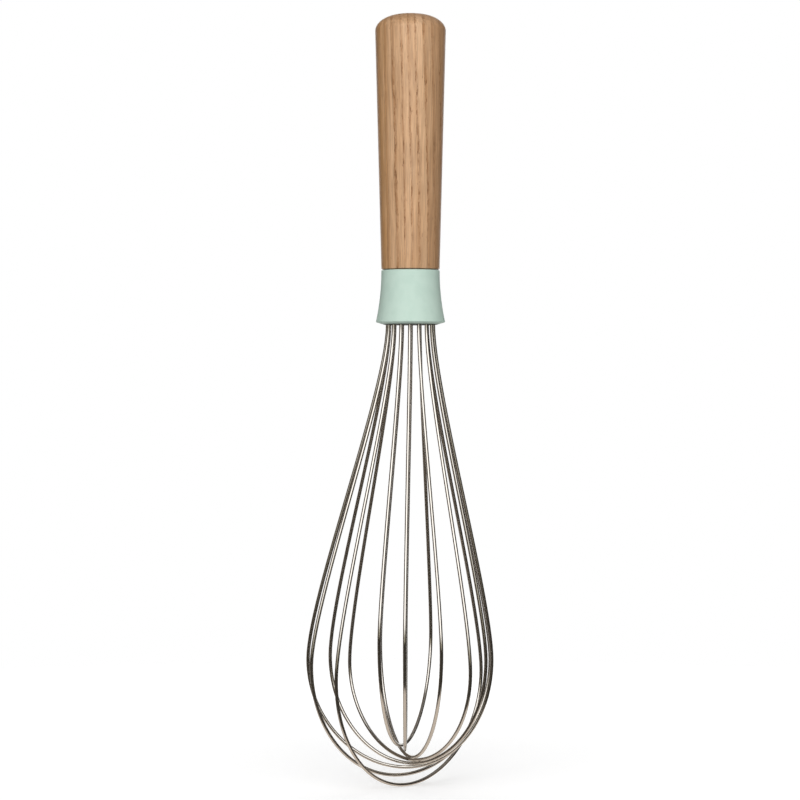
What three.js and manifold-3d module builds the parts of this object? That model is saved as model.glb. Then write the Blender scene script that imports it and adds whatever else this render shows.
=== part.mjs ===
// A balloon whisk: a turned wooden handle, a moulded collar and eight nested loops of steel wire.
// Units are millimetres. +Z runs up along the handle, and the origin is the middle of the handle's butt.
import * as THREE from 'three';
import { mergeVertices } from 'three/addons/utils/BufferGeometryUtils.js';
import Module from 'manifold-3d';

const wasm = await Module();
wasm.setup();

// Handle, turned from one piece of ash
const HANDLE_LENGTH = 99;
const BUTT_DIAMETER = 27.4;
const BUTT_FLAT_DIAMETER = 5;
const BUTT_ROUNDING = 6.6;
const NECK_DIAMETER = 22.6;
const NECK_CHAMFER = 0.3;

// Collar, moulded, with an open top and a floor that the wires pass through
const SEAM = 0.3;
const COLLAR_LENGTH = 20.2;
const COLLAR_TOP_DIAMETER = 22.6;
const COLLAR_RIM_DIAMETER = 26.8;
const COLLAR_EDGE = 0.2;
const COLLAR_WALL = 1.4;
const COLLAR_FLOOR = 1.6;
const CROWN_DROP = 0.95;
const CROWN_LAND = 0.2;

// Core inside the collar, with a tenon that goes up into the handle
const CORE_HEIGHT = 8;
const TENON_LENGTH = 28;
const TENON_CHAMFER = 0.8;
const GLUE_GROOVES = 3;
const GLUE_GROOVE_WIDTH = 1.6;
const GLUE_GROOVE_DEPTH = 0.6;
const RESIN_RECESS = 0.5;
const BORE_SPARE = 1;
const DRILL_TIP_ANGLE = 118;

// Wire, and how many degrees the ring of places where it leaves the collar is turned
const WIRE_DIAMETER = 1.4;
const HOOK_LENGTH = 1.2;
const RING_TURN = 2;

// Clearances between pieces
const FIT = 0.3;
const WIRE_FIT = 0.25;
const HOOK_LIFT = 0.45;

// Cage: depth of the lowest loop under the collar's rim, usual width of a loop at the belly, usual height
// of the belly over the tip, and how far the tip leans sideways
const CAGE_DEPTH = 179.1;
const CAGE_WIDTH = 70;
const BELLY_RISE = 40;
const CAGE_LEAN = -2;

// Length of the Bezier handles at the neck and at the belly, as shares of the drop between them
const NECK_PULL = 0.19;
const BELLY_PULL = 0.18;

// The loops, from the lowest inwards. The wire was bent by hand, so no two are quite alike.
// station: which of the evenly spaced places round the collar it takes
// turn: how many degrees its plane in the cage is turned away from there
// width: its width at the belly as a share of the usual one, and rise: the same for its belly's height
// aside: how far the belly's middle is from the tip line, and skew: how far its bottom is pushed over,
// both along the plane of the loop, as shares of half the cage's width
const LOOPS = [
  { station: 6, turn: 1, width: 1.084, rise: 1.058, aside: -0.072, skew: 0.066 },
  { station: 7, turn: -4.5, width: 1.092, rise: 1.081, aside: 0.041, skew: 0.032 },
  { station: 0, turn: 1, width: 1.019, rise: 1.042, aside: -0.062, skew: 0.059 },
  { station: 1, turn: -2, width: 0.932, rise: 1.014, aside: 0.023, skew: 0.035 },
  { station: 2, turn: 2, width: 1.014, rise: 0.888, aside: 0.057, skew: 0.043 },
  { station: 3, turn: 0.5, width: 0.975, rise: 1.03, aside: 0.154, skew: 0 },
  { station: 4, turn: -1.5, width: 0.971, rise: 1.035, aside: 0, skew: 0 },
  { station: 5, turn: -6.5, width: 0.93, rise: 1.022, aside: -0.012, skew: 0.11 },
];
// Clear gap between each loop and the next one inwards, where they cross at the tip
const NEST_GAPS = [2.6, 1.4, 0.3, 0.3, 0.3, 0.4, 0.8];

// Facets
const ROUND_SEGMENTS = 36;
const HOLE_SEGMENTS = 12;
const WIRE_SIDES = 8;
const ROUNDING_STEPS = 8;
const FLARE_STEPS = 8;
const HOOK_STEPS = 3;
const NECK_STEPS = 11;
const BOTTOM_STEPS = 22;

// Sizes and heights that follow from the values above
const boreRadius = COLLAR_TOP_DIAMETER / 2 - COLLAR_WALL;
const coreRadius = boreRadius - FIT;
const ringRadius = boreRadius - FIT - WIRE_DIAMETER / 2;
const wireHoleRadius = WIRE_DIAMETER / 2 + WIRE_FIT;
const hookRadius = WIRE_DIAMETER;
const tenonRadius = ringRadius - hookRadius - HOOK_LENGTH - FIT;
const handleBoreRadius = tenonRadius + FIT;
const handleBoreDepth = TENON_LENGTH + BORE_SPARE;
const drillTipHeight = handleBoreRadius / Math.tan(THREE.MathUtils.degToRad(DRILL_TIP_ANGLE / 2));
const crownRadius = ringRadius + wireHoleRadius + CROWN_LAND;

const neckZ = -HANDLE_LENGTH;
const collarTopZ = neckZ - SEAM;
const rimZ = collarTopZ - COLLAR_LENGTH;
const crownZ = rimZ - CROWN_DROP;
const floorZ = rimZ + COLLAR_FLOOR;
const coreBottomZ = floorZ + FIT;
const coreTopZ = coreBottomZ + CORE_HEIGHT;
const hookZ = coreTopZ + HOOK_LIFT + WIRE_DIAMETER / 2;
const resinBottomZ = hookZ + WIRE_DIAMETER / 2 + FIT;
const resinTopZ = collarTopZ - RESIN_RECESS;
const tenonTopZ = neckZ + TENON_LENGTH;

// Materials
const ash = new THREE.MeshStandardMaterial({ color: 0xc79a6b, roughness: 0.55, metalness: 0 });
const paleGreen = new THREE.MeshStandardMaterial({ color: 0xbcd6c8, roughness: 0.6, metalness: 0 });
const nylon = new THREE.MeshStandardMaterial({ color: 0xe4e0d4, roughness: 0.6, metalness: 0 });
const resin = new THREE.MeshStandardMaterial({ color: 0xb98f4a, roughness: 0.3, metalness: 0 });
const steel = new THREE.MeshStandardMaterial({ color: 0xcfcfcd, roughness: 0.15, metalness: 1 });

// A solid of revolution about Z from [radius, height] pairs
function turned(profile) {
  const points = profile.map(([radius, height]) => new THREE.Vector2(radius, height));
  return new THREE.LatheGeometry(points, ROUND_SEGMENTS).rotateX(Math.PI / 2);
}

// A closed mesh as a solid that can be cut
function solidOf(geometry) {
  const bare = geometry.clone();
  bare.deleteAttribute('normal');
  bare.deleteAttribute('uv');
  const merged = mergeVertices(bare);
  return new wasm.Manifold(new wasm.Mesh({
    numProp: 3,
    vertProperties: new Float32Array(merged.attributes.position.array),
    triVerts: new Uint32Array(merged.index.array),
  }));
}

// A cut solid as a mesh geometry again
function geometryOf(solid) {
  const mesh = solid.getMesh();
  const geometry = new THREE.BufferGeometry();
  geometry.setAttribute('position', new THREE.BufferAttribute(mesh.vertProperties, mesh.numProp));
  geometry.setIndex(new THREE.BufferAttribute(mesh.triVerts, 1));
  return geometry;
}

function cut(geometry, tools) {
  const remaining = tools.reduce((solid, tool) => solid.subtract(solidOf(tool)), solidOf(geometry));
  return geometryOf(remaining);
}

// A level direction, at so many degrees from +X towards -Y
function levelDirection(degrees) {
  const angle = THREE.MathUtils.degToRad(degrees);
  return new THREE.Vector3(Math.cos(angle), -Math.sin(angle), 0);
}

// Where a loop's first strand leaves the collar, in degrees. Its other strand leaves straight opposite.
function placeAngle(loop) {
  return RING_TURN + 180 * loop.station / LOOPS.length;
}

// The sixteen places where wires leave the collar, as directions from the axis
const strandDirections = LOOPS.flatMap((loop) => {
  const direction = levelDirection(placeAngle(loop));
  return [direction, direction.clone().negate()];
});

// Handle: domed butt, tapered side, and a drilled blind bore with a conical end
function handleGeometry() {
  const flatRadius = BUTT_FLAT_DIAMETER / 2;
  const buttRadius = BUTT_DIAMETER / 2;
  const neckRadius = NECK_DIAMETER / 2;
  const profile = [
    [0, neckZ + handleBoreDepth + drillTipHeight],
    [handleBoreRadius, neckZ + handleBoreDepth],
    [handleBoreRadius, neckZ],
    [neckRadius - NECK_CHAMFER, neckZ],
    [neckRadius, neckZ + NECK_CHAMFER],
  ];
  for (let step = 0; step <= ROUNDING_STEPS; step += 1) {
    const angle = (Math.PI / 2) * (step / ROUNDING_STEPS);
    profile.push([
      flatRadius + (buttRadius - flatRadius) * Math.cos(angle),
      -BUTT_ROUNDING + BUTT_ROUNDING * Math.sin(angle),
    ]);
  }
  profile.push([0, 0]);
  return turned(profile);
}

// Collar: flared outside, straight bore, and a floor with a crowned underside and sixteen wire holes
function collarGeometry() {
  const topRadius = COLLAR_TOP_DIAMETER / 2;
  const rimRadius = COLLAR_RIM_DIAMETER / 2;
  const flareTopZ = collarTopZ - COLLAR_EDGE;
  const flareBottomZ = rimZ + COLLAR_EDGE;
  const profile = [
    [0, crownZ],
    [crownRadius, crownZ],
    [rimRadius - COLLAR_EDGE, rimZ],
  ];
  for (let step = 0; step <= FLARE_STEPS; step += 1) {
    const share = step / FLARE_STEPS;
    profile.push([
      rimRadius + (topRadius - rimRadius) * (1 - (1 - share) ** 2),
      flareBottomZ + (flareTopZ - flareBottomZ) * share,
    ]);
  }
  profile.push(
    [topRadius - COLLAR_EDGE, collarTopZ],
    [boreRadius, collarTopZ],
    [boreRadius, floorZ],
    [0, floorZ],
  );
  const drillLength = 2 * (floorZ - crownZ);
  const holes = strandDirections.map((direction) => {
    const drill = new THREE.CylinderGeometry(wireHoleRadius, wireHoleRadius, drillLength, HOLE_SEGMENTS);
    drill.rotateX(Math.PI / 2);
    return drill.translate(direction.x * ringRadius, direction.y * ringRadius, (floorZ + crownZ) / 2);
  });
  return cut(turned(profile), holes);
}

// An open flute of one wire's width: round at the bottom, straight out past the core's side
function fluteGeometry(direction) {
  const outline = new THREE.Shape();
  const outside = coreRadius + WIRE_DIAMETER;
  outline.moveTo(outside, -wireHoleRadius);
  outline.lineTo(outside, wireHoleRadius);
  for (let step = 0; step <= HOLE_SEGMENTS / 2; step += 1) {
    const angle = Math.PI / 2 + Math.PI * step / (HOLE_SEGMENTS / 2);
    outline.lineTo(ringRadius + wireHoleRadius * Math.cos(angle), wireHoleRadius * Math.sin(angle));
  }
  const flute = new THREE.ExtrudeGeometry(outline, { depth: 2 * CORE_HEIGHT, bevelEnabled: false });
  flute.rotateZ(Math.atan2(direction.y, direction.x));
  return flute.translate(0, 0, coreBottomZ - CORE_HEIGHT / 2);
}

// Core: a fluted block that holds the wires, and a tenon with glue grooves
function coreGeometry() {
  const profile = [
    [0, coreBottomZ],
    [coreRadius, coreBottomZ],
    [coreRadius, coreTopZ],
    [tenonRadius, coreTopZ],
  ];
  const pitch = TENON_LENGTH / (GLUE_GROOVES + 1);
  for (let groove = 1; groove <= GLUE_GROOVES; groove += 1) {
    const middle = neckZ + pitch * groove;
    profile.push(
      [tenonRadius, middle - GLUE_GROOVE_WIDTH / 2],
      [tenonRadius - GLUE_GROOVE_DEPTH, middle],
      [tenonRadius, middle + GLUE_GROOVE_WIDTH / 2],
    );
  }
  profile.push(
    [tenonRadius, tenonTopZ - TENON_CHAMFER],
    [tenonRadius - TENON_CHAMFER, tenonTopZ],
    [0, tenonTopZ],
  );
  return cut(turned(profile), strandDirections.map(fluteGeometry));
}

// Resin: a ring between the tenon and the collar's bore, over the hooked wire ends
function resinGeometry() {
  const inner = handleBoreRadius;
  const outer = coreRadius;
  return turned([
    [inner, resinBottomZ],
    [outer, resinBottomZ],
    [outer, resinTopZ],
    [inner, resinTopZ],
    [inner, resinBottomZ],
  ]);
}

// A path that runs through its listed points, with one ring of the tube at each of them
class PointPath extends THREE.Curve {
  constructor(points) {
    super();
    this.points = points;
  }

  getPoint(share, target = new THREE.Vector3()) {
    const place = share * (this.points.length - 1);
    const index = Math.min(Math.floor(place), this.points.length - 2);
    return target.lerpVectors(this.points[index], this.points[index + 1], place - index);
  }

  getUtoTmapping(share) {
    return share;
  }
}

// One strand of a loop, from its hooked end in the collar down to the belly
function strandPoints(direction, belly) {
  const at = (radius, z) => direction.clone().multiplyScalar(radius).setZ(z);
  const points = [at(ringRadius - hookRadius - HOOK_LENGTH, hookZ)];
  for (let step = 0; step <= HOOK_STEPS; step += 1) {
    const angle = (Math.PI / 2) * (step / HOOK_STEPS);
    points.push(at(
      ringRadius - hookRadius + hookRadius * Math.sin(angle),
      hookZ - hookRadius + hookRadius * Math.cos(angle),
    ));
  }
  const exit = at(ringRadius, crownZ);
  const drop = crownZ - belly.z;
  const neck = new THREE.CubicBezierCurve3(
    exit,
    exit.clone().setZ(crownZ - NECK_PULL * drop),
    belly.clone().setZ(belly.z + BELLY_PULL * drop),
    belly,
  );
  return [...points, ...neck.getPoints(NECK_STEPS)];
}

// The bottom of a loop between its two bellies: half an ellipse, pushed over by the loop's skew.
// Its height is set so that the wire crosses the tip line at the depth that the nest gives it.
function loopPoints(loop, tipDepth) {
  const place = levelDirection(placeAngle(loop));
  const direction = levelDirection(placeAngle(loop) + loop.turn);
  const halfCage = CAGE_WIDTH / 2;
  const halfWidth = halfCage * loop.width;
  const aside = halfCage * loop.aside;
  const skew = halfCage * loop.skew;
  const rise = BELLY_RISE * loop.rise;
  const middle = direction.clone().multiplyScalar(aside);
  middle.x += CAGE_LEAN;
  middle.z = rimZ - tipDepth + rise;
  const root = Math.sqrt(halfWidth ** 2 + 4 * skew * (skew + aside));
  const tipCosine = -2 * (skew + aside) / (halfWidth + root);
  const bottomDepth = rise / Math.sqrt(1 - tipCosine ** 2);
  const bottom = [];
  for (let step = 0; step <= BOTTOM_STEPS; step += 1) {
    const angle = Math.PI * step / BOTTOM_STEPS;
    const along = halfWidth * Math.cos(angle) + skew * Math.sin(angle) ** 2;
    const point = middle.clone().addScaledVector(direction, along);
    point.z -= bottomDepth * Math.sin(angle);
    bottom.push(point);
  }
  const near = strandPoints(place, bottom[0]);
  const far = strandPoints(place.clone().negate(), bottom[BOTTOM_STEPS]);
  return [...near, ...bottom.slice(1, -1), ...far.reverse()];
}

function wireGeometry(points) {
  const section = [];
  for (let side = 0; side < WIRE_SIDES; side += 1) {
    const angle = 2 * Math.PI * side / WIRE_SIDES;
    section.push(new THREE.Vector2(Math.cos(angle), Math.sin(angle)).multiplyScalar(WIRE_DIAMETER / 2));
  }
  return new THREE.ExtrudeGeometry(new THREE.Shape(section), {
    steps: points.length - 1,
    extrudePath: new PointPath(points),
  });
}

const whisk = new THREE.Group();

function addPiece(name, geometry, material) {
  const piece = new THREE.Mesh(geometry, material);
  piece.name = name;
  whisk.add(piece);
}

addPiece('handle', handleGeometry(), ash);
addPiece('collar', collarGeometry(), paleGreen);
addPiece('wire_core', coreGeometry(), nylon);
addPiece('seal_resin', resinGeometry(), resin);

let tipDepth = CAGE_DEPTH;
LOOPS.forEach((loop, index) => {
  if (index > 0) {
    tipDepth -= WIRE_DIAMETER + NEST_GAPS[index - 1];
  }
  addPiece(`wire_loop_${index + 1}`, wireGeometry(loopPoints(loop, tipDepth)), steel.clone());
});

export default whisk;
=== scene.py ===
# %% [markdown]
# # A balloon whisk
#
# The whisk stands upright on the tip of its cage: a turned ash handle on top, a flared pale green collar
# under it, and eight loops of bright steel wire that nest inside each other.
#
# The solids of the whisk are loaded first as a fixed frame, in metres, with +Z up along the handle and
# the origin in the middle of the handle's end. Nothing in this lesson changes a size. It only models the
# visible surfaces more finely than the solids do, and gives them their finishes.

# %% The frame
import math

import bpy
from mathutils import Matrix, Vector


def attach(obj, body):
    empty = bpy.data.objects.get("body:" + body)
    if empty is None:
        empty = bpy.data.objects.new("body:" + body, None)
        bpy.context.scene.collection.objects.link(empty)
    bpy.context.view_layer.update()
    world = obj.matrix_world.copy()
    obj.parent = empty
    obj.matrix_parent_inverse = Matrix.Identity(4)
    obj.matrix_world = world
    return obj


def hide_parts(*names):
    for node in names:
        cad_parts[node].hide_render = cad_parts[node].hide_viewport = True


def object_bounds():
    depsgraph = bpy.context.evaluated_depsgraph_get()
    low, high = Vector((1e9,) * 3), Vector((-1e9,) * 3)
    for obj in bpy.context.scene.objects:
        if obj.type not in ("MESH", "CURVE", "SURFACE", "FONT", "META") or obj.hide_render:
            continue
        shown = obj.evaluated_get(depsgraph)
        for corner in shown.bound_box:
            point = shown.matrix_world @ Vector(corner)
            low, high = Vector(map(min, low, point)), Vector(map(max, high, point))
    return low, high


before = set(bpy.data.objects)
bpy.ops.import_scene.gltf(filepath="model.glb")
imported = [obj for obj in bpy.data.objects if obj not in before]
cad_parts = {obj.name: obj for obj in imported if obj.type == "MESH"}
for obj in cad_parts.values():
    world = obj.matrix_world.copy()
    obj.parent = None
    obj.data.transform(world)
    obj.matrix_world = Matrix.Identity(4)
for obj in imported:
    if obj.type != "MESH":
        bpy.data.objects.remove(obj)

MM = 0.001
cad_box = [list(corner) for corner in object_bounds()]
print("solids:", sorted(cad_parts))
print("box of the solids, in mm:", [[round(value / MM, 2) for value in corner] for corner in cad_box])

# %% [markdown]
# ## Camera
#
# A product shot of a long thin thing is taken from far off with a long lens, so that its two ends look
# equally big. Here the camera stands 1.2 m in front, level with the middle of the whisk, and looks along
# +Y without any tilt, so the handle's sides stay upright in the picture.

# %% Camera
CAMERA_PLACE = (-4.07 * MM, -1207 * MM, -149.57 * MM)
LENS_MM = 140.14
SENSOR_MM = 36
FARTHEST_SEEN = 10

bpy.ops.object.select_all(action="DESELECT")
bpy.ops.object.camera_add(location=CAMERA_PLACE, rotation=(math.pi / 2, 0, 0))
camera = bpy.context.object
camera.name = "camera"
camera.data.sensor_width = SENSOR_MM
camera.data.lens = LENS_MM
camera.data.clip_end = FARTHEST_SEEN
bpy.context.scene.camera = camera
print("camera at", [round(value, 3) for value in camera.location], "with a lens of", camera.data.lens, "mm")

# %% [markdown]
# ## Light
#
# One big softbox over the camera lights the whisk from the front, so the round handle and collar are
# brightest along their middle and fall off evenly to both sides. A weaker one lights the back. Area lights
# make the softboxes. They don't show in reflections: what the wire reflects is set up on its own, further
# on, because there the look depends on it.

# %% Softboxes
CAGE_MIDDLE = Vector((0, 0, -210 * MM))
SOFTBOXES = (
    {"name": "front_softbox", "azimuth": -2, "elevation": 31, "watts": 9.6},
    {"name": "back_softbox", "azimuth": 178, "elevation": 31, "watts": 5.5},
)
SOFTBOX_DISTANCE = 1.0
SOFTBOX_WIDTH = 0.8
SOFTBOX_HEIGHT = 0.9


def direction_of(azimuth, elevation):
    """A direction from the whisk: so many degrees to the right of the camera and above the level."""
    turn = math.radians(azimuth)
    rise = math.radians(elevation)
    return Vector((math.sin(turn) * math.cos(rise), -math.cos(turn) * math.cos(rise), math.sin(rise)))


for numbers in SOFTBOXES:
    towards_softbox = direction_of(numbers["azimuth"], numbers["elevation"])
    bpy.ops.object.light_add(type="AREA", location=CAGE_MIDDLE + towards_softbox * SOFTBOX_DISTANCE)
    softbox = bpy.context.object
    softbox.name = numbers["name"]
    softbox.rotation_euler = towards_softbox.to_track_quat("Z", "Y").to_euler()
    softbox.data.shape = "RECTANGLE"
    softbox.data.size = SOFTBOX_WIDTH
    softbox.data.size_y = SOFTBOX_HEIGHT
    softbox.data.energy = numbers["watts"]
    softbox.visible_camera = False
    softbox.visible_glossy = False
    stands_at = [round(value, 2) for value in softbox.location]
    print(softbox.name, "at", stands_at, "with", numbers["watts"], "W")

# %% [markdown]
# ## White wall
#
# The world is the white wall round the whisk. It gives a weak, even fill light, and is plain white where it
# is seen directly or in the metal. A Light Path node tells these two kinds of ray apart.

# %% White wall
FILL_LEVEL = 0.2
WHITE = (1, 1, 1, 1)


def add_node(nodes, kind, **settings):
    """A new shader node with its settings."""
    node = nodes.new(kind)
    for name, value in settings.items():
        setattr(node, name, value)
    return node


def seen_directly(nodes, links):
    """1 for a ray from the camera, from metal or through glass, and 0 for a ray that only carries light."""
    path = add_node(nodes, "ShaderNodeLightPath")
    either = add_node(nodes, "ShaderNodeMath", operation="MAXIMUM")
    links.new(path.outputs["Is Camera Ray"], either.inputs[0])
    links.new(path.outputs["Is Glossy Ray"], either.inputs[1])
    any_of_them = add_node(nodes, "ShaderNodeMath", operation="MAXIMUM")
    links.new(either.outputs[0], any_of_them.inputs[0])
    links.new(path.outputs["Is Transmission Ray"], any_of_them.inputs[1])
    return any_of_them.outputs[0]


world = bpy.context.scene.world or bpy.data.worlds.new("studio")
bpy.context.scene.world = world
world.use_nodes = True
world_nodes = world.node_tree.nodes
world_links = world.node_tree.links
world_nodes.clear()

fill = add_node(world_nodes, "ShaderNodeBackground")
fill.inputs["Strength"].default_value = FILL_LEVEL
fill.inputs["Color"].default_value = WHITE
white_wall = add_node(world_nodes, "ShaderNodeBackground")
white_wall.inputs["Strength"].default_value = 1
white_wall.inputs["Color"].default_value = WHITE
fill_or_wall = add_node(world_nodes, "ShaderNodeMixShader")
world_links.new(seen_directly(world_nodes, world_links), fill_or_wall.inputs[0])
world_links.new(fill.outputs[0], fill_or_wall.inputs[1])
world_links.new(white_wall.outputs[0], fill_or_wall.inputs[2])
world_output = add_node(world_nodes, "ShaderNodeOutputWorld")
world_links.new(fill_or_wall.outputs[0], world_output.inputs["Surface"])
bpy.context.scene.view_settings.view_transform = "Standard"
print("white wall with a fill of", FILL_LEVEL)

# %% [markdown]
# ## The room in the wire
#
# Polished wire has no colour of its own: it shows what stands round it. Without something dark to reflect,
# bright wire in front of a white wall all but disappears, so photographers hang dark cards round it. Here
# one big sphere takes their place, open at the back, where the white wall is. Only reflections see it: it
# neither shades the whisk nor shows in the picture.

# %% Sphere
ROOM_RADIUS = 1.6
BACK_OPENING = 0.86

bpy.ops.object.select_all(action="DESELECT")
bpy.ops.mesh.primitive_uv_sphere_add(segments=64, ring_count=32, radius=ROOM_RADIUS, location=CAGE_MIDDLE)
room = bpy.context.object
room.name = "room"
bpy.ops.object.mode_set(mode="EDIT")
bpy.ops.mesh.select_all(action="SELECT")
back_plane = CAGE_MIDDLE + Vector((0, BACK_OPENING * ROOM_RADIUS, 0))
bpy.ops.mesh.bisect(plane_co=back_plane, plane_no=(0, 1, 0), clear_outer=True)
bpy.ops.object.mode_set(mode="OBJECT")
room.visible_camera = False
room.visible_diffuse = False
room.visible_transmission = False
room.visible_shadow = False
print("room with", len(room.data.polygons), "faces")

# %% [markdown]
# ### Building with nodes
#
# Every finish from here on is built mostly from the same few nodes: a sum, a soft step between two values,
# and a mix of two colours. A helper for each keeps the finishes short enough to read.

# %% Node helpers
def new_material(name):
    """An empty node material and its output node."""
    material = bpy.data.materials.new(name)
    material.use_nodes = True
    material.node_tree.nodes.clear()
    output = add_node(material.node_tree.nodes, "ShaderNodeOutputMaterial")
    return material, material.node_tree.nodes, material.node_tree.links, output


def math_node(nodes, links, operation, first, second=None):
    """A math node. Each input is a number or another node's output."""
    node = add_node(nodes, "ShaderNodeMath", operation=operation)
    for socket, value in zip(node.inputs, (first, second)):
        if isinstance(value, (int, float)):
            socket.default_value = value
        elif value is not None:
            links.new(value, socket)
    return node.outputs[0]


def step_node(nodes, links, value, low, high, to_low=0.0, to_high=1.0):
    """A smooth step from to_low to to_high while the value goes from low to high."""
    node = add_node(nodes, "ShaderNodeMapRange", interpolation_type="SMOOTHSTEP")
    links.new(value, node.inputs["Value"])
    for name, number in (("From Min", low), ("From Max", high), ("To Min", to_low), ("To Max", to_high)):
        if isinstance(number, (int, float)):
            node.inputs[name].default_value = number
        else:
            links.new(number, node.inputs[name])
    return node.outputs[0]


def between(nodes, links, value, first_edge, last_edge):
    """1 between two soft edges, and 0 outside them."""
    past_first = step_node(nodes, links, value, *first_edge)
    before_last = step_node(nodes, links, value, *last_edge, 1.0, 0.0)
    return math_node(nodes, links, "MULTIPLY", past_first, before_last)


def mix_colour(nodes, links, share, first, second):
    """Two colours mixed by a share. Each is a colour or another node's output."""
    node = add_node(nodes, "ShaderNodeMix", data_type="RGBA", clamp_factor=True)
    factor = next(socket for socket in node.inputs if socket.enabled and socket.type == "VALUE")
    colours = [socket for socket in node.inputs if socket.type == "RGBA"]
    for socket, value in zip([factor, *colours], (share, first, second)):
        if isinstance(value, (int, float, tuple)):
            socket.default_value = value
        else:
            links.new(value, socket)
    return next(socket for socket in node.outputs if socket.type == "RGBA")


node_helpers = (new_material, math_node, step_node, between, mix_colour)
print("helpers:", [helper.__name__ for helper in node_helpers])

# %% [markdown]
# ### What the wire reflects
#
# The sphere is dark all round, a little less so below the level, with a white field in front, where the
# softbox is. A wire that leans back shows that field as a white line down its middle, and one that leans
# forward stays dark. The left side is a little lighter and warmer than the right, where a grey card hangs.
# Far below the level the sphere turns to the grey of a pale table top, which comes up higher at the sides,
# and high up to the grey of a ceiling.
#
# A point of the sphere is found by two angles, as in a map: the azimuth, to the right of the camera, and the
# elevation above the level.

# %% Colours of the room
ROOM_DARK = (0.016, 0.013, 0.010, 1)
ROOM_LOW = (0.050, 0.045, 0.037, 1)
ROOM_LEFT = (0.140, 0.116, 0.092, 1)
ROOM_RIGHT = (0.040, 0.035, 0.030, 1)
RIGHT_CARD = (0.27, 0.25, 0.22, 1)
WHITE_FIELD = (1.70, 1.70, 1.68, 1)
FIELD_FOOT = (0.38, 0.36, 0.28, 1)
TABLE_GREY = (0.66, 0.59, 0.52, 1)
CEILING_GREY = (0.19, 0.185, 0.18, 1)

# Every edge is soft: it starts at the first angle and ends at the second, in degrees.
LOW_EDGE = (-8, 4)
LEFT_EDGE = (-90, -68)
RIGHT_EDGE = (35, 60)
CARD_LEFT_EDGE = (44, 54)
CARD_RIGHT_EDGE = (66, 84)
CARD_LOWER_EDGE = (10, 24)
FIELD_LEFT_EDGE = (-53, -33)
FIELD_RIGHT_EDGE = (25, 38)
FIELD_LOWER_EDGE = (4, 13)
FIELD_TOP_EDGE = (48, 62)
FIELD_TOP_SLOPE = 0.15
FOOT_LOWER_EDGE = (-1, 3)
TABLE_CORNER = (50, 75)
TABLE_EDGE_IN_FRONT = -40
TABLE_EDGE_AT_SIDES = -26
TABLE_SOFTNESS = 2

room_finish, nodes, links, output = new_material("room")
room_finish.cycles.emission_sampling = "NONE"
place = add_node(nodes, "ShaderNodeTexCoord")
outward = add_node(nodes, "ShaderNodeVectorMath", operation="NORMALIZE")
links.new(place.outputs["Object"], outward.inputs[0])
axes = add_node(nodes, "ShaderNodeSeparateXYZ")
links.new(outward.outputs[0], axes.inputs[0])
towards_camera = math_node(nodes, links, "MULTIPLY", axes.outputs["Y"], -1.0)
turn = math_node(nodes, links, "ARCTAN2", axes.outputs["X"], towards_camera)
azimuth = math_node(nodes, links, "DEGREES", turn)
rise = math_node(nodes, links, "ARCSINE", axes.outputs["Z"])
elevation = math_node(nodes, links, "DEGREES", rise)

walls = mix_colour(nodes, links, step_node(nodes, links, elevation, *LOW_EDGE), ROOM_LOW, ROOM_DARK)
walls = mix_colour(nodes, links, step_node(nodes, links, azimuth, *LEFT_EDGE), ROOM_LEFT, walls)
walls = mix_colour(nodes, links, step_node(nodes, links, azimuth, *RIGHT_EDGE), walls, ROOM_RIGHT)
beside_card = between(nodes, links, azimuth, CARD_LEFT_EDGE, CARD_RIGHT_EDGE)
over_card_edge = step_node(nodes, links, elevation, *CARD_LOWER_EDGE)
card = math_node(nodes, links, "MULTIPLY", beside_card, over_card_edge)
walls = mix_colour(nodes, links, card, walls, RIGHT_CARD)

in_front = between(nodes, links, azimuth, FIELD_LEFT_EDGE, FIELD_RIGHT_EDGE)
foot = math_node(nodes, links, "MULTIPLY", in_front, step_node(nodes, links, elevation, *FOOT_LOWER_EDGE))
field = math_node(nodes, links, "MULTIPLY", in_front, step_node(nodes, links, elevation, *FIELD_LOWER_EDGE))
colour = mix_colour(nodes, links, foot, walls, FIELD_FOOT)
colour = mix_colour(nodes, links, field, colour, WHITE_FIELD)
slope = math_node(nodes, links, "MULTIPLY", azimuth, FIELD_TOP_SLOPE)
sloping = math_node(nodes, links, "ADD", elevation, slope)
below_ceiling = step_node(nodes, links, sloping, *FIELD_TOP_EDGE, 1.0, 0.0)
colour = mix_colour(nodes, links, below_ceiling, CEILING_GREY, colour)

aside = math_node(nodes, links, "ABSOLUTE", azimuth)
table_edge = step_node(nodes, links, aside, *TABLE_CORNER, TABLE_EDGE_IN_FRONT, TABLE_EDGE_AT_SIDES)
over_edge = math_node(nodes, links, "SUBTRACT", elevation, table_edge)
above_table = step_node(nodes, links, over_edge, -TABLE_SOFTNESS, TABLE_SOFTNESS)
colour = mix_colour(nodes, links, above_table, TABLE_GREY, colour)
glow = add_node(nodes, "ShaderNodeEmission")
links.new(colour, glow.inputs["Color"])
links.new(glow.outputs[0], output.inputs["Surface"])
room.data.materials.append(room_finish)
print("colours of the room with", len(nodes), "nodes")

# %% [markdown]
# ## Floor
#
# The floor is a pale disc just under the lowest wire. It is lit like any other surface, so it keeps the
# whisk's soft shadow, and some light of its own brings it up to the white of the wall behind. The
# softboxes light its outer parts less, so these get more of it. The disc's edge fades out, so no line
# shows where the floor ends.

# %% Floor
FLOOR_RADIUS = 0.6
FLOOR_FADE_START = 0.4
FLOOR_COLOUR = (0.8, 0.8, 0.8, 1)
FLOOR_GLOW_NEAR = 0.335
FLOOR_GLOW_FAR = 0.43
FLOOR_GAP = 0.1 * MM

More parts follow.
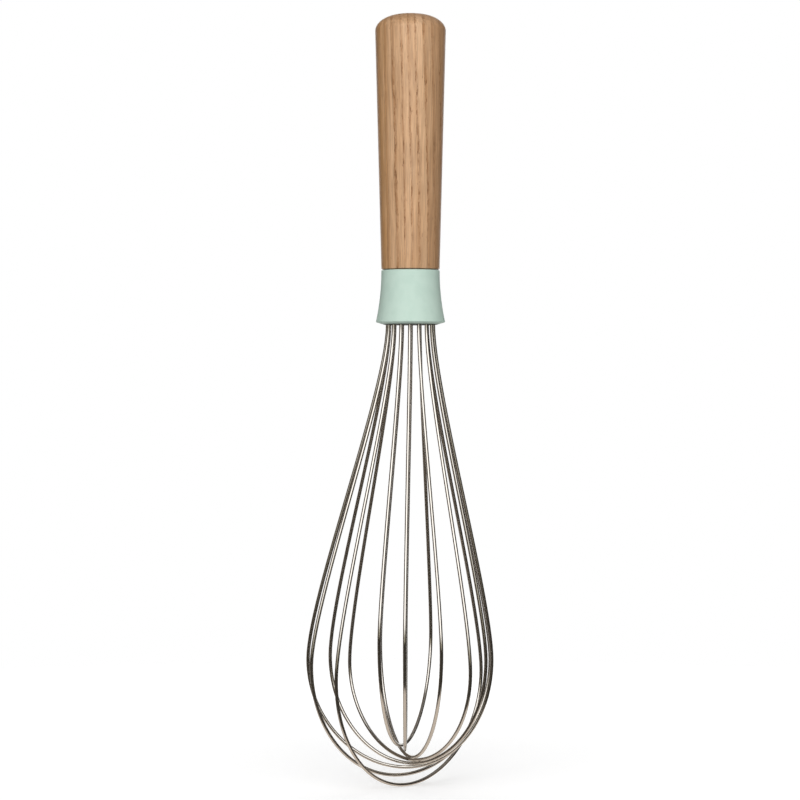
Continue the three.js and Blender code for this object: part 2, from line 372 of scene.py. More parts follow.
bpy.ops.object.select_all(action="DESELECT")
bpy.ops.mesh.primitive_circle_add(
    vertices=96, radius=FLOOR_RADIUS, fill_type="NGON", location=(0, 0, cad_box[0][2] - FLOOR_GAP)
)
floor = bpy.context.object
floor.name = "floor"
bpy.ops.object.mode_set(mode="EDIT")
bpy.ops.mesh.select_all(action="SELECT")
bpy.ops.mesh.inset(thickness=FLOOR_RADIUS - FLOOR_FADE_START)
bpy.ops.object.mode_set(mode="OBJECT")
floor.visible_glossy = False

floor_finish, nodes, links, output = new_material("pale_floor")
place = add_node(nodes, "ShaderNodeTexCoord")
from_whisk = add_node(nodes, "ShaderNodeVectorMath", operation="LENGTH")
links.new(place.outputs["Object"], from_whisk.inputs[0])
far = from_whisk.outputs["Value"]
fade = step_node(nodes, links, far, FLOOR_FADE_START, FLOOR_RADIUS)
lift = step_node(nodes, links, far, 0, FLOOR_FADE_START, FLOOR_GLOW_NEAR, FLOOR_GLOW_FAR)
paint = add_node(nodes, "ShaderNodeBsdfDiffuse")
paint.inputs["Color"].default_value = FLOOR_COLOUR
own_light = add_node(nodes, "ShaderNodeEmission")
strength = math_node(nodes, links, "MULTIPLY", seen_directly(nodes, links), lift)
links.new(strength, own_light.inputs["Strength"])
lit_paint = add_node(nodes, "ShaderNodeAddShader")
links.new(paint.outputs[0], lit_paint.inputs[0])
links.new(own_light.outputs[0], lit_paint.inputs[1])
clear = add_node(nodes, "ShaderNodeBsdfTransparent")
edge = add_node(nodes, "ShaderNodeMixShader")
links.new(fade, edge.inputs[0])
links.new(lit_paint.outputs[0], edge.inputs[1])
links.new(clear.outputs[0], edge.inputs[2])
links.new(edge.outputs[0], output.inputs["Surface"])
floor.data.materials.append(floor_finish)
print("floor at", round(floor.location.z / MM, 2), "mm")

# %% [markdown]
# ## Handle
#
# The handle was turned on a lathe: a domed end, a long straight taper down to the neck, a small chamfer
# there, and a drilled hole for the core's tenon. So it is made as on a lathe. A single point is extruded
# along half of the outline, and the outline is spun once round the axis. That gives clean rings of faces
# that a stack of primitives wouldn't have.

# %% Lathe
LATHE_STEPS = 128
MERGE_DISTANCE = 0.002 * MM
EDGE_WIDTH = 0.12 * MM
EDGE_SEGMENTS = 3
SMOOTH_ANGLE = math.radians(35)


def turn_outline(name, outline):
    """A closed turned piece. The outline is a list of (radius, height) in mm from axis to axis."""
    bpy.ops.object.select_all(action="DESELECT")
    radius, height = outline[0]
    bpy.ops.mesh.primitive_plane_add(size=MM, location=(radius * MM, 0, height * MM))
    piece = bpy.context.object
    piece.name = name
    bpy.ops.object.transform_apply(location=True, rotation=True, scale=True)
    bpy.ops.object.mode_set(mode="EDIT")
    bpy.ops.mesh.select_all(action="SELECT")
    bpy.ops.mesh.merge(type="CENTER")
    for next_radius, next_height in outline[1:]:
        step = ((next_radius - radius) * MM, 0, (next_height - height) * MM)
        bpy.ops.mesh.extrude_region_move(TRANSFORM_OT_translate={"value": step})
        radius, height = next_radius, next_height
    bpy.ops.mesh.select_all(action="SELECT")
    bpy.ops.mesh.spin(steps=LATHE_STEPS, angle=2 * math.pi, center=(0, 0, 0), axis=(0, 0, 1))
    bpy.ops.mesh.select_all(action="SELECT")
    bpy.ops.mesh.remove_doubles(threshold=MERGE_DISTANCE)
    bpy.ops.mesh.normals_make_consistent(inside=False)
    bpy.ops.object.mode_set(mode="OBJECT")
    return piece


def soften_edges(piece, sharp_angle):
    """Rounds every edge of the active piece that is sharper than the angle, in degrees."""
    bevel = piece.modifiers.new("soft_edges", "BEVEL")
    bevel.width = EDGE_WIDTH
    bevel.segments = EDGE_SEGMENTS
    bevel.limit_method = "ANGLE"
    bevel.angle_limit = math.radians(sharp_angle)
    bevel.use_clamp_overlap = True
    bpy.ops.object.modifier_apply(modifier=bevel.name)


print("lathe with", LATHE_STEPS, "steps to a turn")

# %% Handle
HANDLE_LENGTH = 99
BUTT_RADIUS = 13.7
BUTT_FLAT_RADIUS = 2.5
BUTT_ROUNDING = 6.6
NECK_RADIUS = 11.3
NECK_CHAMFER = 0.3
BORE_RADIUS = 6.3
BORE_DEPTH = 29
BORE_TIP_HEIGHT = 3.785
HANDLE_SHARP_ANGLE = 30
DOME_STEPS = 20
TAPER_STEPS = 12


def report(piece):
    """Prints what a finished piece measures."""
    corners = [piece.matrix_world @ Vector(corner) for corner in piece.bound_box]
    spans = [[corner[axis] for corner in corners] for axis in range(3)]
    sizes = [round((max(span) - min(span)) / MM, 2) for span in spans]
    print(piece.name, len(piece.data.polygons), "faces,", sizes, "mm")


handle_outline = [(0, 0), (BUTT_FLAT_RADIUS, 0)]
for step in range(DOME_STEPS - 1, -1, -1):
    angle = math.pi / 2 * step / DOME_STEPS
    handle_outline.append((
        BUTT_FLAT_RADIUS + (BUTT_RADIUS - BUTT_FLAT_RADIUS) * math.cos(angle),
        BUTT_ROUNDING * (math.sin(angle) - 1),
    ))
taper_end = -HANDLE_LENGTH + NECK_CHAMFER
for step in range(1, TAPER_STEPS + 1):
    share = step / TAPER_STEPS
    handle_outline.append((
        BUTT_RADIUS + (NECK_RADIUS - BUTT_RADIUS) * share,
        -BUTT_ROUNDING + (taper_end + BUTT_ROUNDING) * share,
    ))
handle_outline += [
    (NECK_RADIUS - NECK_CHAMFER, -HANDLE_LENGTH),
    (BORE_RADIUS, -HANDLE_LENGTH),
    (BORE_RADIUS, -HANDLE_LENGTH + BORE_DEPTH),
    (0, -HANDLE_LENGTH + BORE_DEPTH + BORE_TIP_HEIGHT),
]
handle = turn_outline("ash_handle", handle_outline)
soften_edges(handle, HANDLE_SHARP_ANGLE)
bpy.ops.object.shade_smooth_by_angle(angle=SMOOTH_ANGLE)
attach(handle, "root")
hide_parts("handle")
report(handle)

# %% [markdown]
# ## Ash wood
#
# Ash shows its year rings as lines down the handle, about 3 mm apart, because the blank was sawn along the
# grain. A picture of wood wrapped round the handle would show a seam and a wrong end. So the finish is a
# solid texture: it reads the place inside the wood, in millimetres, and the rings run right through the
# handle. Its sides and its end show the same rings cut in other ways.
#
# The rings are flat sheets across X. They wander along the grain, lie unevenly far apart, ripple and lean a
# little. The whole part of the ring count tells which ring a point is in, and the rest of it how far into
# that ring the point is.

# %% Year rings
RING_SPACING = 3.0
RING_START = 0.47
WANDER_SIZE = (16, 16, 60)
WANDER_AMOUNT = 1.5
UNEVEN_SIZE = (5, 90, 400)
UNEVEN_OFFSET = (3.1, 0, 0)
UNEVEN_AMOUNT = 1.6
RIPPLE_SIZE = (7, 7, 13)
RIPPLE_AMOUNT = 0.9
GRAIN_LEAN = 0.020


def place_in_mm(nodes, links):
    """Object coordinates in millimetres."""
    coordinates = add_node(nodes, "ShaderNodeTexCoord")
    scaled = add_node(nodes, "ShaderNodeMapping", vector_type="POINT")
    scaled.inputs["Scale"].default_value = (1 / MM, 1 / MM, 1 / MM)
    links.new(coordinates.outputs["Object"], scaled.inputs["Vector"])
    return scaled.outputs["Vector"]


def noise_node(nodes, links, place, size, detail=2.0, roughness=0.5, offset=(0, 0, 0)):
    """Noise on a place in mm. The size is that of a patch along each axis, in mm."""
    mapping = add_node(nodes, "ShaderNodeMapping", vector_type="POINT")
    mapping.inputs["Location"].default_value = offset
    mapping.inputs["Scale"].default_value = [1 / length for length in size]
    links.new(place, mapping.inputs["Vector"])
    noise = add_node(nodes, "ShaderNodeTexNoise", noise_dimensions="3D")
    noise.inputs["Scale"].default_value = 1
    noise.inputs["Detail"].default_value = detail
    noise.inputs["Roughness"].default_value = roughness
    links.new(mapping.outputs["Vector"], noise.inputs["Vector"])
    return noise.outputs[0]


def swing(nodes, links, noise, amount):
    """Noise turned into a value from about -amount / 2 to amount / 2."""
    return math_node(nodes, links, "MULTIPLY", math_node(nodes, links, "SUBTRACT", noise, 0.5), amount)


ash, nodes, links, output = new_material("ash_wood")
place = place_in_mm(nodes, links)
axes = add_node(nodes, "ShaderNodeSeparateXYZ")
links.new(place, axes.inputs[0])
height = axes.outputs["Z"]
wander = swing(nodes, links, noise_node(nodes, links, place, WANDER_SIZE), WANDER_AMOUNT)
uneven_noise = noise_node(nodes, links, place, UNEVEN_SIZE, detail=0.0, offset=UNEVEN_OFFSET)
uneven = swing(nodes, links, uneven_noise, UNEVEN_AMOUNT)
ripple = swing(nodes, links, noise_node(nodes, links, place, RIPPLE_SIZE), RIPPLE_AMOUNT)
lean = math_node(nodes, links, "MULTIPLY", height, GRAIN_LEAN)
across = axes.outputs["X"]
for shift in (wander, uneven, ripple, lean):
    across = math_node(nodes, links, "ADD", across, shift)
spacings = math_node(nodes, links, "DIVIDE", across, RING_SPACING)
ring_count = math_node(nodes, links, "ADD", spacings, RING_START)
ring_index = math_node(nodes, links, "FLOOR", ring_count)
into_ring = math_node(nodes, links, "FRACT", ring_count)
print("rings are", RING_SPACING, "mm apart")

# %% [markdown]
# ### Lines, pores and fibres
#
# Each ring starts with rows of open pores, seen as a brown line that fades into the pale, fine wood of the
# rest of the ring. The line is stronger in one ring than in the next, breaks into short dashes, and comes
# and goes down the handle, so it is multiplied by a share for each of these. Single pores are dark flecks,
# most of them where a line is strong. Fibres are fine streaks everywhere.

# %% Lines, pores and fibres
LINE_FALL = (0.05, 0.42)
LINE_RISE = (0.92, 0.995)
LINE_SEED = 40.5
LINE_STRENGTHS = (0.45, 1.0)
DASH_SIZE = (0.7, 0.7, 3.5)
DASH_EDGE = (0.34, 0.60)
DASH_STRENGTHS = (0.25, 1.1)
STRETCH_SIZE = (2.5, 2.5, 18)
STRETCH_OFFSET = (0, 4.9, 2.3)
STRETCH_EDGE = (0.36, 0.62)
STRETCH_STRENGTHS = (0.55, 1.3)
PORE_SIZE = (0.42, 0.42, 2.4)
PORE_LEVEL = 0.65
PORE_DROP_IN_LINE = 0.14
PORE_SOFTNESS = 0.10
FIBRE_SIZE = (0.6, 0.6, 18)


def pick_per_ring(nodes, links, ring_index, seed):
    """A random number from 0 to 1 that is the same all over one ring."""
    chance = add_node(nodes, "ShaderNodeTexWhiteNoise", noise_dimensions="1D")
    links.new(math_node(nodes, links, "ADD", ring_index, seed), chance.inputs["W"])
    return chance.outputs["Value"]


falling = step_node(nodes, links, into_ring, *LINE_FALL, 1.0, 0.0)
rising = step_node(nodes, links, into_ring, *LINE_RISE)
line = math_node(nodes, links, "MAXIMUM", falling, rising)
line_chance = pick_per_ring(nodes, links, ring_index, LINE_SEED)
line_strength = step_node(nodes, links, line_chance, 0, 1, *LINE_STRENGTHS)
dashes = noise_node(nodes, links, place, DASH_SIZE, detail=4.0, roughness=0.7)
dash_strength = step_node(nodes, links, dashes, *DASH_EDGE, *DASH_STRENGTHS)
stretches = noise_node(nodes, links, place, STRETCH_SIZE, offset=STRETCH_OFFSET)
stretch_strength = step_node(nodes, links, stretches, *STRETCH_EDGE, *STRETCH_STRENGTHS)
for share in (line_strength, dash_strength, stretch_strength):
    line = math_node(nodes, links, "MULTIPLY", line, share)

pore_noise = noise_node(nodes, links, place, PORE_SIZE, detail=3.0, roughness=0.6)
pore_drop = math_node(nodes, links, "MULTIPLY", line, PORE_DROP_IN_LINE)
pore_start = math_node(nodes, links, "SUBTRACT", PORE_LEVEL, pore_drop)
pore_full = math_node(nodes, links, "ADD", pore_start, PORE_SOFTNESS)
pores = step_node(nodes, links, pore_noise, pore_start, pore_full)
fibres = noise_node(nodes, links, place, FIBRE_SIZE, detail=4.0, roughness=0.65)
print("rings, lines, pores and fibres:", len(nodes), "nodes")

# %% [markdown]
# ### Tones and colours
#
# The tone goes from 0, pale wood, to 1, brown wood. Every ring has its own, and patches shift it up and
# down. Painted shade makes the wood browner towards both sides of the handle, over its right half, and at
# the far left, where the painted shade is a warmer brown. The end grain of the butt is browner too. How far
# a point is to the side is measured in radii, so that these parts follow the taper.

# %% Ash tones and colours
PALE_WOOD = (0.690, 0.447, 0.268, 1)
BROWN_WOOD = (0.478, 0.276, 0.144, 1)
# The warmer brown is that of the painted shade at the far left.
WARM_SHADE_BROWN = (0.485, 0.258, 0.108, 1)
LINE_WOOD = (0.372, 0.196, 0.091, 1)
PORE_WOOD = (0.170, 0.075, 0.030, 1)
TONE_SEED = 7.5
RING_TONES = (0.12, 0.74)
PATCH_SIZE = (3, 3, 20)
PATCH_OFFSET = (7.3, 1.7, 0)
PATCH_TONE = 1.1
# Painted shade: browner towards both sides, over the right half and at the far left.
SIDES = (0.48, 1.08)
SIDE_SHADE_TONE = 0.6
END_GRAIN = (-4.0, -0.8)
END_GRAIN_TONE = 0.7
RIGHT_SIDE = (0.04, 0.28)
RIGHT_HEIGHTS = (-85, -30)
RIGHT_SHADE_TONES = (0.4, 0.25)
LEFT_SIDE = (-0.82, -0.62)
LEFT_HEIGHTS = (-95, -20)
LEFT_SHADE_TONES = (0.35, 0.25)
PORE_SHARE = 0.7
FIBRE_EDGE = (0.32, 0.68)
FIBRE_BRIGHTNESS = (0.80, 1.13)

patches = noise_node(nodes, links, place, PATCH_SIZE, detail=4.0, roughness=0.6, offset=PATCH_OFFSET)
taper = math_node(nodes, links, "MULTIPLY", height, (BUTT_RADIUS - NECK_RADIUS) / HANDLE_LENGTH)
radius_here = math_node(nodes, links, "ADD", taper, BUTT_RADIUS)
sideways = math_node(nodes, links, "DIVIDE", axes.outputs["X"], radius_here)
from_middle = math_node(nodes, links, "ABSOLUTE", sideways)
# Masks of the painted shade on the right half and at the far left.
right_side = step_node(nodes, links, sideways, *RIGHT_SIDE)
right_shade = step_node(nodes, links, height, *RIGHT_HEIGHTS, *RIGHT_SHADE_TONES)
left_side = step_node(nodes, links, sideways, *LEFT_SIDE, 1.0, 0.0)
left_shade = step_node(nodes, links, height, *LEFT_HEIGHTS, *LEFT_SHADE_TONES)
tone_shifts = (
    swing(nodes, links, patches, PATCH_TONE),
    step_node(nodes, links, from_middle, *SIDES, 0.0, SIDE_SHADE_TONE),
    step_node(nodes, links, height, *END_GRAIN, 0.0, END_GRAIN_TONE),
    math_node(nodes, links, "MULTIPLY", right_side, right_shade),
    math_node(nodes, links, "MULTIPLY", left_side, left_shade),
)
tone_chance = pick_per_ring(nodes, links, ring_index, TONE_SEED)
tone = step_node(nodes, links, tone_chance, 0, 1, *RING_TONES)
for shift in tone_shifts:
    tone = math_node(nodes, links, "ADD", tone, shift)

# The painted shade at the far left is a warmer brown.
brown = mix_colour(nodes, links, left_side, BROWN_WOOD, WARM_SHADE_BROWN)
colour = mix_colour(nodes, links, tone, PALE_WOOD, brown)
colour = mix_colour(nodes, links, line, colour, LINE_WOOD)
colour = mix_colour(nodes, links, math_node(nodes, links, "MULTIPLY", pores, PORE_SHARE), colour, PORE_WOOD)
wood_colour = add_node(nodes, "ShaderNodeVectorMath", operation="SCALE")
links.new(colour, wood_colour.inputs[0])
links.new(step_node(nodes, links, fibres, *FIBRE_EDGE, *FIBRE_BRIGHTNESS), wood_colour.inputs["Scale"])
print("ash wood so far:", len(nodes), "nodes")

# %% [markdown]
# ### Oiled surface
#
# The wood has a satin oil finish. The pores stay slightly open, so they dent the surface, and their rough
# inside shines less than the wood round them. The fibres stand out a little. Both are too small to model,
# so they are a bump.

# %% Ash surface
WOOD_SHINE = 0.5
WOOD_ROUGHNESS = (0.34, 0.60)
FIBRE_RELIEF = 0.4
WOOD_BUMP = 0.35
WOOD_BUMP_DEPTH = 0.06 * MM


def add_bump(nodes, links, height, strength, depth):
    """A bump from a height. Gives the bent normal."""
    bump = add_node(nodes, "ShaderNodeBump")
    bump.inputs["Strength"].default_value = strength
    bump.inputs["Distance"].default_value = depth
    links.new(height, bump.inputs["Height"])
    return bump.outputs[0]


def add_surface(nodes, links, output, colour, roughness, normal):
    """A surface whose colour, roughness and normal all vary. Gives its shader node."""
    surface = add_node(nodes, "ShaderNodeBsdfPrincipled")
    links.new(colour, surface.inputs["Base Color"])
    links.new(roughness, surface.inputs["Roughness"])
    links.new(normal, surface.inputs["Normal"])
    links.new(surface.outputs[0], output.inputs["Surface"])
    return surface


raised_fibres = math_node(nodes, links, "MULTIPLY", fibres, FIBRE_RELIEF)
relief = math_node(nodes, links, "SUBTRACT", raised_fibres, pores)
normal = add_bump(nodes, links, relief, WOOD_BUMP, WOOD_BUMP_DEPTH)
roughness = step_node(nodes, links, pores, 0, 1, *WOOD_ROUGHNESS)
wood = add_surface(nodes, links, output, wood_colour.outputs[0], roughness, normal)
wood.inputs["Specular IOR Level"].default_value = WOOD_SHINE
handle.data.materials.append(ash)
print("ash wood with", len(nodes), "nodes")

# %% [markdown]
# ## Collar
#
# The collar is moulded in matte plastic. It flares out downwards in a soft curve, so the outline is a
# parabola, turned in the same way as the handle. Its crowned underside has sixteen holes for the wires.
# They are drilled with one Boolean: a cylinder is set at each place, all are joined, and the difference is
# applied.
#
# The holes follow the eight loops of wire, which were bent by hand. None is quite like the next, which is
# why each has its own numbers.

# %% Loops
RING_TURN = 2

# Each loop of wire, from the lowest inwards: which of the eight places round the collar it takes and how
# many degrees it is turned from there in the cage, its width and its belly's height as shares of the usual
# ones, and how far its belly is set aside and its bottom pushed over, as shares of half the cage's width.
LOOPS = (
    {"station": 6, "turn": 1, "width": 1.084, "rise": 1.058, "aside": -0.072, "skew": 0.066},
    {"station": 7, "turn": -4.5, "width": 1.092, "rise": 1.081, "aside": 0.041, "skew": 0.032},
    {"station": 0, "turn": 1, "width": 1.019, "rise": 1.042, "aside": -0.062, "skew": 0.059},
    {"station": 1, "turn": -2, "width": 0.932, "rise": 1.014, "aside": 0.023, "skew": 0.035},
    {"station": 2, "turn": 2, "width": 1.014, "rise": 0.888, "aside": 0.057, "skew": 0.043},
    {"station": 3, "turn": 0.5, "width": 0.975, "rise": 1.03, "aside": 0.154, "skew": 0},
    {"station": 4, "turn": -1.5, "width": 0.971, "rise": 1.035, "aside": 0, "skew": 0},
    {"station": 5, "turn": -6.5, "width": 0.93, "rise": 1.022, "aside": -0.012, "skew": 0.11},
)


def level_direction(degrees):
    """A level direction, at so many degrees from +X towards -Y."""
    angle = math.radians(degrees)
    return Vector((math.cos(angle), -math.sin(angle), 0))


def place_angle(loop):
    """Where a loop's first strand leaves the collar, in degrees. The other one leaves straight opposite."""
    return RING_TURN + 180 * loop["station"] / len(LOOPS)


print("loops leave the collar at", sorted(place_angle(loop) for loop in LOOPS), "degrees")

# %% Collar
COLLAR_TOP = -99.3
COLLAR_RIM = -119.5
COLLAR_TOP_RADIUS = 11.3
COLLAR_RIM_RADIUS = 13.4
COLLAR_EDGE = 0.2
COLLAR_BORE_RADIUS = 9.9
COLLAR_FLOOR = -117.9
CROWN_HEIGHT = -120.45
CROWN_RADIUS = 10.05
COLLAR_SHARP_ANGLE = 25
FLARE_STEPS = 16

collar_outline = [
    (0, CROWN_HEIGHT),
    (CROWN_RADIUS, CROWN_HEIGHT),
    (COLLAR_RIM_RADIUS - COLLAR_EDGE, COLLAR_RIM),
]
for step in range(FLARE_STEPS + 1):
    share = step / FLARE_STEPS
    collar_outline.append((
        COLLAR_TOP_RADIUS + (COLLAR_RIM_RADIUS - COLLAR_TOP_RADIUS) * (1 - share) ** 2,
        COLLAR_RIM + COLLAR_EDGE + (COLLAR_TOP - COLLAR_RIM - 2 * COLLAR_EDGE) * share,
    ))
collar_outline += [
    (COLLAR_TOP_RADIUS - COLLAR_EDGE, COLLAR_TOP),
    (COLLAR_BORE_RADIUS, COLLAR_TOP),
    (COLLAR_BORE_RADIUS, COLLAR_FLOOR),
    (0, COLLAR_FLOOR),
]
collar = turn_outline("green_collar", collar_outline)
soften_edges(collar, COLLAR_SHARP_ANGLE)
print("collar without holes:", len(collar.data.polygons), "faces")

# %% Wire holes
WIRE_RING_RADIUS = 8.9
WIRE_HOLE_RADIUS = 0.95
DRILL_SIDES = 20

bpy.ops.object.select_all(action="DESELECT")
drills = []
for loop in LOOPS:
    for side in (1, -1):
        hole = level_direction(place_angle(loop)) * side * WIRE_RING_RADIUS
        bpy.ops.mesh.primitive_cylinder_add(
            vertices=DRILL_SIDES,
            radius=WIRE_HOLE_RADIUS * MM,
            depth=2 * (COLLAR_FLOOR - CROWN_HEIGHT) * MM,
            location=(hole.x * MM, hole.y * MM, (COLLAR_FLOOR + CROWN_HEIGHT) / 2 * MM),
        )
        drills.append(bpy.context.object)
for drill in drills:
    drill.select_set(True)
bpy.ops.object.join()
drill_set = bpy.context.object

bpy.ops.object.select_all(action="DESELECT")
collar.select_set(True)
bpy.context.view_layer.objects.active = collar
drilling = collar.modifiers.new("wire_holes", "BOOLEAN")
drilling.operation = "DIFFERENCE"
drilling.solver = "EXACT"
drilling.object = drill_set
bpy.ops.object.modifier_apply(modifier=drilling.name)
bpy.data.objects.remove(drill_set)
bpy.ops.object.shade_smooth_by_angle(angle=SMOOTH_ANGLE)
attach(collar, "root")
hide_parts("collar")
report(collar)

# %% [markdown]
# ## Collar plastic
#
# The plastic is a pale mint green with a dull, slightly grainy skin, as left by a blasted mould. Close up
# it isn't one even colour: the pigment is faintly cloudy. The grain is only relief, so it is a bump. Painted
# shade darkens the underside towards the ring of wires, and inside that ring it is painted almost black.

# %% Collar plastic
MINT = (0.526, 0.664, 0.582, 1)
MINT_CLOUD = (0.494, 0.636, 0.554, 1)
# Painted shade on the underside, almost black inside the ring of wires:
PAINTED_SHADE_MINT = (0.030, 0.036, 0.030, 1)
SHADE_INSIDE = 10.0
SHADE_OUTSIDE = 12.0
SHADE_BELOW_RIM = 0.1
CLOUD_SIZE = (3.5, 3.5, 5.0)
CLOUD_EDGE = (0.35, 0.70)
SKIN_SIZE = (0.16, 0.16, 0.16)
SKIN_EDGE = (0.3, 0.7)
SKIN_BUMP_DEPTH = 0.03 * MM
PLASTIC_BUMP = 0.25
PLASTIC_ROUGHNESS = (0.52, 0.64)
PLASTIC_SHINE = 0.15

mint_plastic, nodes, links, output = new_material("collar_plastic")
place = place_in_mm(nodes, links)
clouds = noise_node(nodes, links, place, CLOUD_SIZE, detail=3.0)
tint = mix_colour(nodes, links, step_node(nodes, links, clouds, *CLOUD_EDGE), MINT, MINT_CLOUD)
axes = add_node(nodes, "ShaderNodeSeparateXYZ")
links.new(place, axes.inputs[0])
level = add_node(nodes, "ShaderNodeCombineXYZ")
links.new(axes.outputs["X"], level.inputs["X"])
links.new(axes.outputs["Y"], level.inputs["Y"])
from_axis = add_node(nodes, "ShaderNodeVectorMath", operation="LENGTH")
links.new(level.outputs[0], from_axis.inputs[0])
# The painted shade: the underside turns almost black inside the ring of wires.
inside = step_node(nodes, links, from_axis.outputs["Value"], SHADE_INSIDE, SHADE_OUTSIDE, 1.0, 0.0)
below_rim = COLLAR_RIM - SHADE_BELOW_RIM
underside = step_node(nodes, links, axes.outputs["Z"], below_rim, COLLAR_RIM, 1.0, 0.0)
painted_shade = math_node(nodes, links, "MULTIPLY", underside, inside)
tint = mix_colour(nodes, links, painted_shade, tint, PAINTED_SHADE_MINT)
skin = noise_node(nodes, links, place, SKIN_SIZE, roughness=0.6)
normal = add_bump(nodes, links, skin, PLASTIC_BUMP, SKIN_BUMP_DEPTH)
roughness = step_node(nodes, links, skin, *SKIN_EDGE, *PLASTIC_ROUGHNESS)
plastic = add_surface(nodes, links, output, tint, roughness, normal)
plastic.inputs["Specular IOR Level"].default_value = PLASTIC_SHINE
collar.data.materials.append(mint_plastic)
print("collar plastic with", len(nodes), "nodes")

# %% [markdown]
# ## Wire loops
#
# Each loop is one length of wire: a hook inside the collar, a straight shank through its hole, a long curve
# out to the belly, a round bottom, and the same back up. The natural tool is a Bezier curve with a round
# bevel: its points sit where the wire changes direction, and the handles give the bend between them. Each
# curve then becomes a mesh.
#
# First come the points. The loops cross on one upright line at the tip of the cage, one above the other. A
# loop that is set aside or pushed over crosses that line beside its lowest point, so its bottom is made a
# little deeper, and the crossing comes out at the right height.

# %% Points of a loop
HALF_CAGE = 35
BELLY_RISE = 40
CAGE_LEAN = -2
NECK_PULL = 0.19
BELLY_PULL = 0.18
HOOK_HEIGHT = -108.45
HOOK_RADIUS = 1.4
HOOK_LENGTH = 1.2
ARC_HANDLE = 0.5523
UP = Vector((0, 0, 1))


def strand_points(direction, belly, bottom_depth):
    """One side of a loop, from its hook to its belly, as (place, handle before, handle after) in mm."""
    hook_start = direction * (WIRE_RING_RADIUS - HOOK_RADIUS - HOOK_LENGTH) + UP * HOOK_HEIGHT
    bend_start = direction * (WIRE_RING_RADIUS - HOOK_RADIUS) + UP * HOOK_HEIGHT
    bend_end = direction * WIRE_RING_RADIUS + UP * (HOOK_HEIGHT - HOOK_RADIUS)
    leaving = direction * WIRE_RING_RADIUS + UP * CROWN_HEIGHT
    drop = CROWN_HEIGHT - belly.z
    return [
        (hook_start, hook_start, hook_start.lerp(bend_start, 1 / 3)),
        (bend_start, bend_start.lerp(hook_start, 1 / 3), bend_start + direction * HOOK_RADIUS * ARC_HANDLE),
        (bend_end, bend_end + UP * HOOK_RADIUS * ARC_HANDLE, bend_end.lerp(leaving, 1 / 3)),
        (leaving, leaving.lerp(bend_end, 1 / 3), leaving - UP * NECK_PULL * drop),
        (belly, belly + UP * BELLY_PULL * drop, belly - UP * ARC_HANDLE * bottom_depth),
    ]


def loop_points(loop, tip_depth):
    """The whole loop. Its bottom crosses the tip line at the tip depth under the collar's rim."""
    place = level_direction(place_angle(loop))
    direction = level_direction(place_angle(loop) + loop["turn"])
    half_width = HALF_CAGE * loop["width"]
    aside = HALF_CAGE * loop["aside"]
    skew = HALF_CAGE * loop["skew"]
    rise = BELLY_RISE * loop["rise"]
    middle = direction * aside + Vector((CAGE_LEAN, 0, COLLAR_RIM - tip_depth + rise))
    root = math.sqrt(half_width ** 2 + 4 * skew * (skew + aside))
    tip_cosine = -2 * (skew + aside) / (half_width + root)
    bottom_depth = rise / math.sqrt(1 - tip_cosine ** 2)
    bottom = middle + direction * skew - UP * bottom_depth
    handle_reach = direction * ARC_HANDLE * half_width
    near = strand_points(place, middle + direction * half_width, bottom_depth)
    far = strand_points(-place, middle - direction * half_width, bottom_depth)
    far_back_up = [(point, after, before) for point, before, after in reversed(far)]
    return [*near, (bottom, bottom + handle_reach, bottom - handle_reach), *far_back_up]


print("a cage about", 2 * HALF_CAGE, "mm wide")

# %% Wire loops
WIRE_RADIUS = 0.7
CAGE_DEPTH = 179.1
NEST_GAPS = (2.6, 1.4, 0.3, 0.3, 0.3, 0.4, 0.8)
WIRE_STEPS = 28
WIRE_ROUNDNESS = 4
WIRE_SMOOTH_ANGLE = math.radians(50)


def bend_wire(name, points):
    """A round wire along Bezier points given in mm, as a mesh."""
    bpy.ops.object.select_all(action="DESELECT")
    bpy.ops.curve.primitive_bezier_curve_add(location=(0, 0, 0))
    wire = bpy.context.object
    wire.name = name
    wire.data.dimensions = "3D"
    wire.data.resolution_u = WIRE_STEPS
    wire.data.bevel_depth = WIRE_RADIUS * MM
    wire.data.bevel_resolution = WIRE_ROUNDNESS
    wire.data.use_fill_caps = True
    spline = wire.data.splines[0]
    spline.bezier_points.add(len(points) - len(spline.bezier_points))
    for bezier_point, (place, before, after) in zip(spline.bezier_points, points):
        bezier_point.handle_left_type = "FREE"
        bezier_point.handle_right_type = "FREE"
        bezier_point.co = place * MM
        bezier_point.handle_left = before * MM
        bezier_point.handle_right = after * MM
    bpy.ops.object.convert(target="MESH")
    bpy.ops.object.shade_smooth_by_angle(angle=WIRE_SMOOTH_ANGLE)
    return bpy.context.object


wires = []
tip_depth = CAGE_DEPTH
for index, loop in enumerate(LOOPS):
    if index > 0:
        tip_depth -= 2 * WIRE_RADIUS + NEST_GAPS[index - 1]
    wire = bend_wire(f"steel_loop_{index + 1}", loop_points(loop, tip_depth))
    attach(wire, "root")
    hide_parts(f"wire_loop_{index + 1}")
    wires.append(wire)
    report(wire)

# %% [markdown]
# ## Steel wire
#
# The wire is bright drawn stainless steel. A metal's colour is the colour of its reflections, here a little
# warm. What keeps it from looking like chrome is its skin: faint drawing marks and finger-worn patches,
# which show as changes in roughness more than in colour.

# %% Steel wire
BRIGHT_STEEL = (0.785, 0.745, 0.695, 1)
DULL_STEEL = (0.70, 0.660, 0.612, 1)
WORN_SIZE = (6, 6, 14)
WORN_COLOUR_EDGE = (0.35, 0.70)
WORN_EDGE = (0.30, 0.70)
WORN_ROUGHNESS = (0.0, 0.04)
MARK_SIZE = (0.12, 0.12, 2.5)
MARK_EDGE = (0.40, 0.75)
MARK_ROUGHNESS = (0.06, 0.10)
STEEL_BUMP = 0.02
STEEL_BUMP_DEPTH = 0.004 * MM

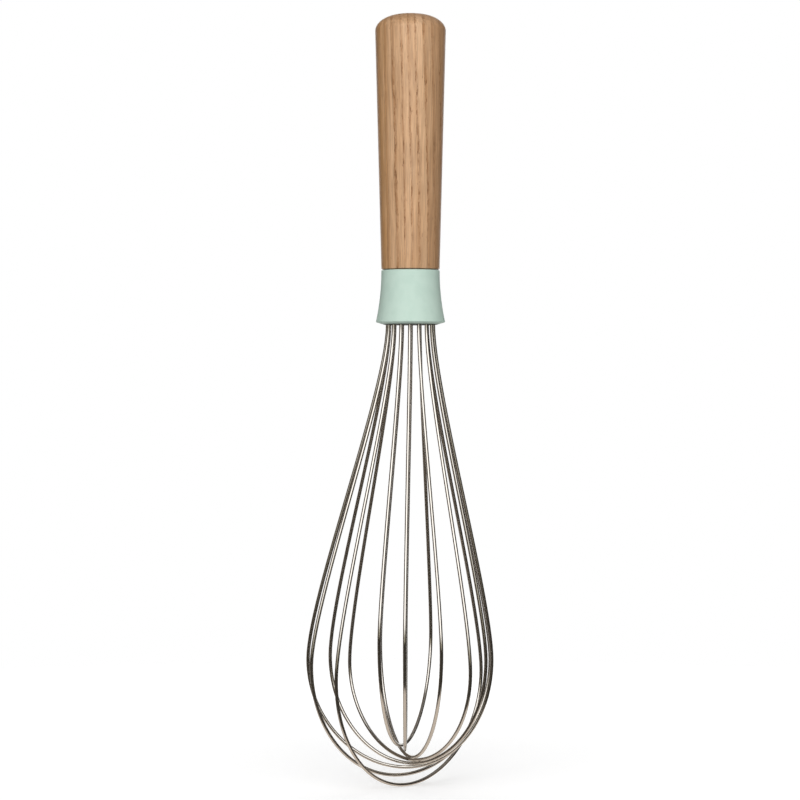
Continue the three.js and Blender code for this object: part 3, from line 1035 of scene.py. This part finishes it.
steel, nodes, links, output = new_material("steel_wire")
place = place_in_mm(nodes, links)
worn = noise_node(nodes, links, place, WORN_SIZE, detail=3.0)
marks = noise_node(nodes, links, place, MARK_SIZE)
dulled = step_node(nodes, links, worn, *WORN_COLOUR_EDGE)
shade = mix_colour(nodes, links, dulled, BRIGHT_STEEL, DULL_STEEL)
worn_roughness = step_node(nodes, links, worn, *WORN_EDGE, *WORN_ROUGHNESS)
mark_roughness = step_node(nodes, links, marks, *MARK_EDGE, *MARK_ROUGHNESS)
roughness = math_node(nodes, links, "ADD", worn_roughness, mark_roughness)
normal = add_bump(nodes, links, marks, STEEL_BUMP, STEEL_BUMP_DEPTH)
metal = add_surface(nodes, links, output, shade, roughness, normal)
metal.inputs["Metallic"].default_value = 1
for wire in wires:
    wire.data.materials.append(steel)
print("steel wire with", len(nodes), "nodes on", len(wires), "loops")

# %% [markdown]
# ## Core and resin
#
# Two pieces stay hidden in the collar: a nylon core whose tenon goes up into the handle, and the ring of
# resin that was poured over the hooked wire ends. Their solids are already right, so they only get finishes,
# put into the material slots that they have. Both are cloudy, with a grain twelve times as fine.

# %% Core and resin
HIDDEN_FINISHES = (
    {
        "node": "wire_core", "name": "core_nylon",
        "colours": ((0.77, 0.75, 0.66, 1), (0.70, 0.66, 0.54, 1)),
        "cloud": 4.0, "roughness": (0.48, 0.60), "bump": 0.2,
    },
    {
        "node": "seal_resin", "name": "potting_resin",
        "colours": ((0.50, 0.30, 0.085, 1), (0.33, 0.18, 0.045, 1)),
        "cloud": 2.5, "roughness": (0.12, 0.25), "bump": 0.1,
    },
)
GRAINS_PER_CLOUD = 12

for numbers in HIDDEN_FINISHES:
    material, nodes, links, output = new_material(numbers["name"])
    place = place_in_mm(nodes, links)
    clouds = noise_node(nodes, links, place, (numbers["cloud"],) * 3, detail=3.0)
    grain = noise_node(nodes, links, place, (numbers["cloud"] / GRAINS_PER_CLOUD,) * 3)
    tint = mix_colour(nodes, links, step_node(nodes, links, clouds, *CLOUD_EDGE), *numbers["colours"])
    normal = add_bump(nodes, links, grain, numbers["bump"], SKIN_BUMP_DEPTH)
    roughness = step_node(nodes, links, grain, *SKIN_EDGE, *numbers["roughness"])
    add_surface(nodes, links, output, tint, roughness, normal)
    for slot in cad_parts[numbers["node"]].material_slots:
        slot.material = material
    print(numbers["node"], "has", material.name)
